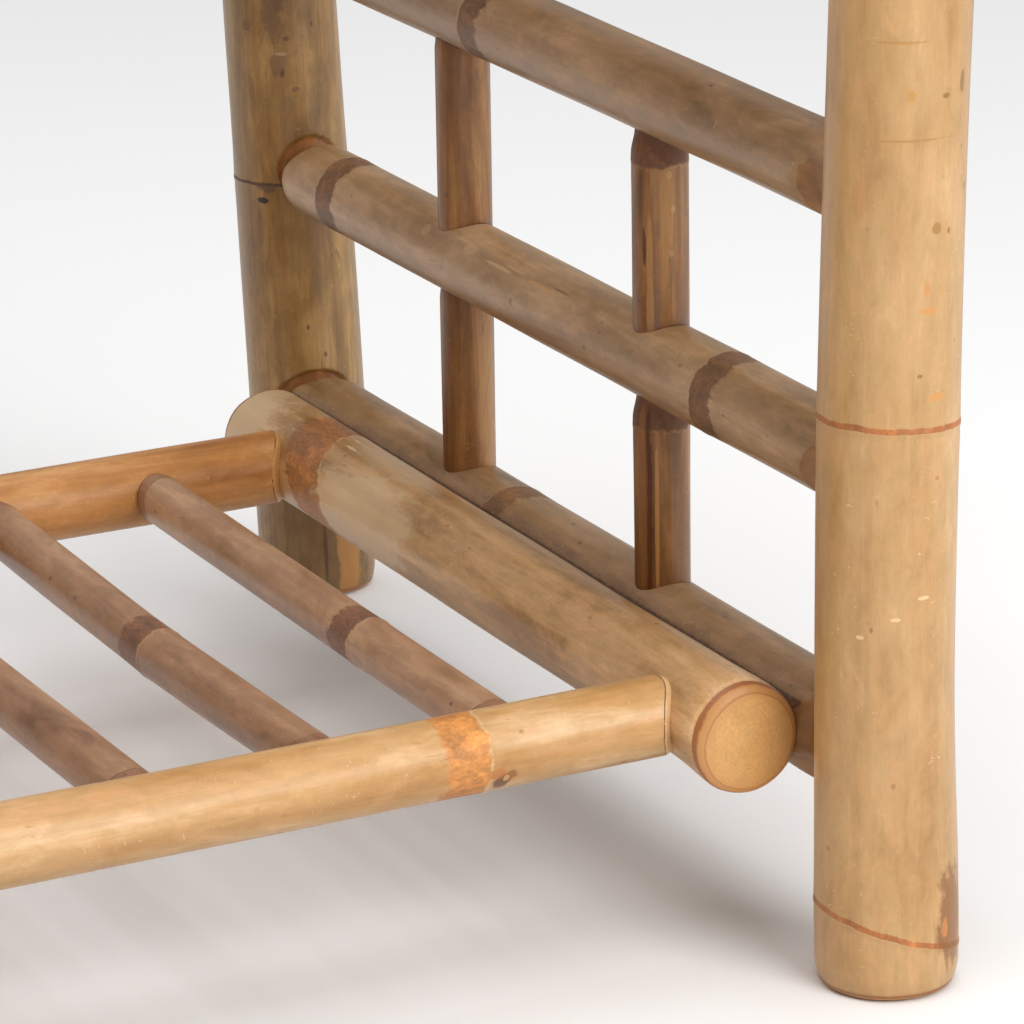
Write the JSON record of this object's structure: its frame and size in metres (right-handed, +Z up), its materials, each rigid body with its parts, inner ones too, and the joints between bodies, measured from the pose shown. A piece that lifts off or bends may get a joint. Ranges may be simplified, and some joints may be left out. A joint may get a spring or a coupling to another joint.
{
  "type": "bamboo luggage rack",
  "caption": "Rigid bamboo luggage rack: two ladder-like end frames of round poles carry a slatted luggage deck on top and a matching slatted shelf near the floor.",
  "frame": {"origin": "on the floor, under the centre of the rack", "axes": "+X along the rack to its right end, +Y from front to back, +Z up"},
  "size_m": [0.7012, 0.5486, 0.465],
  "materials": {
    "leg_bamboo": "satin lacquer over peeled straw-coloured bamboo",
    "rail_bamboo": "satin lacquer over peeled grey-brown bamboo",
    "end_pole_bamboo": "satin lacquer over peeled golden bamboo",
    "side_rail_bamboo": "satin lacquer over peeled golden bamboo",
    "slat_bamboo": "satin lacquer over peeled brown bamboo",
    "spindle_bamboo": "satin lacquer over brown bamboo",
    "plug_hardwood": "raw turned hardwood",
    "zinc_steel": "dull zinc plate"
  },
  "bodies": {
    "root": {"connector_bolts": "zinc_steel", "deck_end_pole_left": "end_pole_bamboo", "deck_end_pole_right": "end_pole_bamboo", "deck_side_rail_back": "side_rail_bamboo", "deck_side_rail_front": "side_rail_bamboo", "deck_side_rail_plugs": "plug_hardwood", "deck_slat_1": "slat_bamboo", "deck_slat_2": "slat_bamboo", "deck_slat_3": "slat_bamboo", "deck_slat_4": "slat_bamboo", "deck_slat_5": "slat_bamboo", "deck_slat_6": "slat_bamboo", "deck_slat_7": "slat_bamboo", "deck_slat_plugs": "plug_hardwood", "insert_nuts": "zinc_steel", "leg_back_left": "leg_bamboo", "leg_back_right": "leg_bamboo", "leg_front_left": "leg_bamboo", "leg_front_right": "leg_bamboo", "rail_bottom_left": "rail_bamboo", "rail_bottom_right": "rail_bamboo", "rail_middle_left": "rail_bamboo", "rail_middle_right": "rail_bamboo", "rail_plugs_left": "plug_hardwood", "rail_plugs_right": "plug_hardwood", "rail_top_left": "rail_bamboo", "rail_top_right": "rail_bamboo", "rail_upper_left": "rail_bamboo", "rail_upper_right": "rail_bamboo", "saddle_washers": "zinc_steel", "shelf_end_pole_left": "end_pole_bamboo", "shelf_end_pole_right": "end_pole_bamboo", "shelf_side_rail_back": "side_rail_bamboo", "shelf_side_rail_front": "side_rail_bamboo", "shelf_side_rail_plugs": "plug_hardwood", "shelf_slat_1": "slat_bamboo", "shelf_slat_2": "slat_bamboo", "shelf_slat_3": "slat_bamboo", "shelf_slat_4": "slat_bamboo", "shelf_slat_5": "slat_bamboo", "shelf_slat_6": "slat_bamboo", "shelf_slat_7": "slat_bamboo", "shelf_slat_plugs": "plug_hardwood", "spindle_lower_back_left": "spindle_bamboo", "spindle_lower_back_right": "spindle_bamboo", "spindle_lower_front_left": "spindle_bamboo", "spindle_lower_front_right": "spindle_bamboo", "spindle_plugs_left": "plug_hardwood", "spindle_plugs_right": "plug_hardwood", "spindle_upper_back_left": "spindle_bamboo", "spindle_upper_back_right": "spindle_bamboo", "spindle_upper_front_left": "spindle_bamboo", "spindle_upper_front_right": "spindle_bamboo"}
  },
  "joints": []
}
